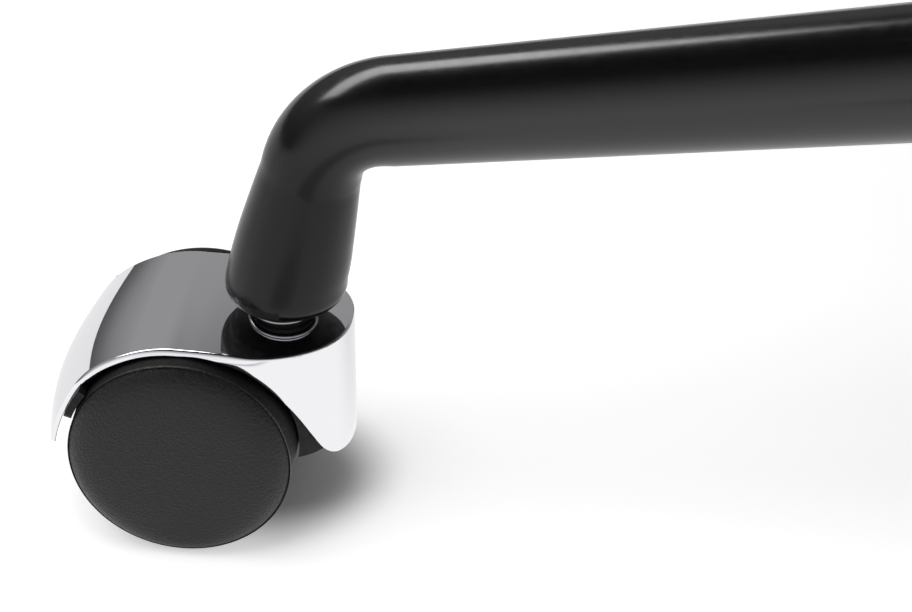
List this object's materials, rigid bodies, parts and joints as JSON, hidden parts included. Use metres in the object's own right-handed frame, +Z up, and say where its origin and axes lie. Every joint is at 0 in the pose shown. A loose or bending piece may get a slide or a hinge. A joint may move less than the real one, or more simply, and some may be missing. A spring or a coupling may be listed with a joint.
{
  "type": "office chair",
  "caption": "Swivel task chair on a star base of bent tubular legs with plated hooded casters, gas height column, tilt and a padded seat and back.",
  "frame": {"origin": "on the floor under the gas column's axis", "axes": "+Z up, -Y toward the seat's front, +X toward the sitter's left"},
  "size_m": [0.6762, 0.6466, 0.956],
  "materials": {
    "powder_coat": "satin black powder coat",
    "hood_chrome": "bright plated",
    "housing_nylon": "moulded",
    "wheel_nylon": "fine moulded grain",
    "plated_steel": "zinc plated",
    "black_steel": "black oxide",
    "spring_steel": "oiled",
    "rod_chrome": "ground and plated",
    "cylinder_paint": "gloss black",
    "bumper_rubber": "moulded",
    "upholstery": "woven",
    "board_wood": "stained plywood",
    "black_plastic": "fine moulded grain"
  },
  "bodies": {
    "base": {"hub": "powder_coat", "leg_1": "powder_coat", "leg_2": "powder_coat", "leg_3": "powder_coat", "leg_4": "powder_coat", "leg_5": "powder_coat", "caster_stems": "black_steel", "stem_grip_rings": "spring_steel", "standpipe": "powder_coat", "guide_bush": "black_plastic", "thrust_bearing": "plated_steel"},
    "caster_1": {"caster_housing_1": "housing_nylon", "caster_hood_1": "hood_chrome", "caster_axle_1": "plated_steel"},
    "near_wheel_1": {"wheel_1_near": "wheel_nylon"},
    "far_wheel_1": {"wheel_1_far": "wheel_nylon"},
    "caster_2": {"caster_housing_2": "housing_nylon", "caster_hood_2": "hood_chrome", "caster_axle_2": "plated_steel"},
    "near_wheel_2": {"wheel_2_near": "wheel_nylon"},
    "far_wheel_2": {"wheel_2_far": "wheel_nylon"},
    "caster_3": {"caster_housing_3": "housing_nylon", "caster_hood_3": "hood_chrome", "caster_axle_3": "plated_steel"},
    "near_wheel_3": {"wheel_3_near": "wheel_nylon"},
    "far_wheel_3": {"wheel_3_far": "wheel_nylon"},
    "caster_4": {"caster_housing_4": "housing_nylon", "caster_hood_4": "hood_chrome", "caster_axle_4": "plated_steel"},
    "near_wheel_4": {"wheel_4_near": "wheel_nylon"},
    "far_wheel_4": {"wheel_4_far": "wheel_nylon"},
    "caster_5": {"caster_housing_5": "housing_nylon", "caster_hood_5": "hood_chrome", "caster_axle_5": "plated_steel"},
    "near_wheel_5": {"wheel_5_near": "wheel_nylon"},
    "far_wheel_5": {"wheel_5_far": "wheel_nylon"},
    "column_rod": {"piston_rod": "rod_chrome", "rod_clip": "plated_steel"},
    "mechanism": {"gas_cylinder": "cylinder_paint", "mechanism_housing": "powder_coat", "tilt_pin": "plated_steel", "tilt_springs": "spring_steel", "tilt_bumpers": "bumper_rubber", "lever_pin": "plated_steel"},
    "valve": {"valve_pin": "rod_chrome"},
    "lever": {"height_lever": "powder_coat", "lever_grip": "black_plastic"},
    "tension": {"tension_screw": "plated_steel", "tension_knob": "black_plastic"},
    "seat": {"seat_plate": "powder_coat", "seat_bolts": "black_steel", "seat_board": "board_wood", "armrest_inserts": "plated_steel", "seat_cushion": "upholstery", "back_bar": "powder_coat", "back_bar_bolts": "black_steel", "back_shell": "black_plastic", "back_bolts": "black_steel", "back_cushion": "upholstery"}
  },
  "joints": [
    {"name": "caster_1_swivel", "type": "hinge", "parent": "base", "child": "caster_1", "pos_m": [0, 0.3, 0.045], "axis": [0, 0, 1], "continuous": true},
    {"name": "wheel_1_near_spin", "type": "hinge", "parent": "caster_1", "child": "near_wheel_1", "pos_m": [0.00222, 0.32048, 0.025], "axis": [-0.9942, 0.108, 0], "continuous": true},
    {"name": "wheel_1_far_spin", "type": "hinge", "parent": "caster_1", "child": "far_wheel_1", "pos_m": [0.00222, 0.32048, 0.025], "axis": [-0.9942, 0.108, 0], "continuous": true},
    {"name": "caster_2_swivel", "type": "hinge", "parent": "base", "child": "caster_2", "pos_m": [-0.28532, 0.0927, 0.045], "axis": [0, 0, 1], "continuous": true},
    {"name": "wheel_2_near_spin", "type": "hinge", "parent": "caster_2", "child": "near_wheel_2", "pos_m": [-0.30411, 0.10115, 0.025], "axis": [-0.4099, -0.9121, 0], "continuous": true},
    {"name": "wheel_2_far_spin", "type": "hinge", "parent": "caster_2", "child": "far_wheel_2", "pos_m": [-0.30411, 0.10115, 0.025], "axis": [-0.4099, -0.9121, 0], "continuous": true},
    {"name": "caster_3_swivel", "type": "hinge", "parent": "base", "child": "caster_3", "pos_m": [-0.17634, -0.24271, 0.045], "axis": [0, 0, 1], "continuous": true},
    {"name": "wheel_3_near_spin", "type": "hinge", "parent": "caster_3", "child": "near_wheel_3", "pos_m": [-0.19017, -0.25797, 0.025], "axis": [0.7408, -0.6717, 0], "continuous": true},
    {"name": "wheel_3_far_spin", "type": "hinge", "parent": "caster_3", "child": "far_wheel_3", "pos_m": [-0.19017, -0.25797, 0.025], "axis": [0.7408, -0.6717, 0], "continuous": true},
    {"name": "caster_4_swivel", "type": "hinge", "parent": "base", "child": "caster_4", "pos_m": [0.17634, -0.24271, 0.045], "axis": [0, 0, 1], "continuous": true},
    {"name": "wheel_4_near_spin", "type": "hinge", "parent": "caster_4", "child": "near_wheel_4", "pos_m": [0.18657, -0.26058, 0.025], "axis": [0.8678, 0.497, 0], "continuous": true},
    {"name": "wheel_4_far_spin", "type": "hinge", "parent": "caster_4", "child": "far_wheel_4", "pos_m": [0.18657, -0.26058, 0.025], "axis": [0.8678, 0.497, 0], "continuous": true},
    {"name": "caster_5_swivel", "type": "hinge", "parent": "base", "child": "caster_5", "pos_m": [0.28532, 0.0927, 0.045], "axis": [0, 0, 1], "continuous": true},
    {"name": "wheel_5_near_spin", "type": "hinge", "parent": "caster_5", "child": "near_wheel_5", "pos_m": [0.30548, 0.09692, 0.025], "axis": [-0.2045, 0.9789, 0], "continuous": true},
    {"name": "wheel_5_far_spin", "type": "hinge", "parent": "caster_5", "child": "far_wheel_5", "pos_m": [0.30548, 0.09692, 0.025], "axis": [-0.2045, 0.9789, 0], "continuous": true},
    {"name": "seat_swivel", "type": "hinge", "parent": "base", "child": "column_rod", "pos_m": [0, 0, 0.09], "axis": [0, 0, 1], "continuous": true},
    {"name": "height_slide", "type": "slide", "parent": "column_rod", "child": "mechanism", "axis": [0, 0, 1], "range_m": [0, 0.1]},
    {"name": "seat_tilt", "type": "hinge", "parent": "mechanism", "child": "seat", "pos_m": [0, -0.048, 0.38], "axis": [-1, 0, 0], "range_deg": [0, 14], "stiffness_Nm_per_rad": 60, "springref_deg": -28.65},
    {"name": "lever_lift", "type": "hinge", "parent": "mechanism", "child": "lever", "pos_m": [-0.024, 0, 0.3758], "axis": [0, 1, 0], "range_deg": [0, 7], "stiffness_Nm_per_rad": 2, "springref_deg": -11.46},
    {"name": "valve_press", "type": "slide", "parent": "mechanism", "child": "valve", "axis": [0, 0, -1], "range_m": [0, 0.0035]},
    {"name": "tension_turn", "type": "hinge", "parent": "mechanism", "child": "tension", "pos_m": [0, -0.07, 0.34], "axis": [0, 0, 1], "range_deg": [0, 720]}
  ],
  "couplings": [
    {"joint": "valve_press", "follows": "lever_lift", "m_per_rad": 0.028}
  ]
}
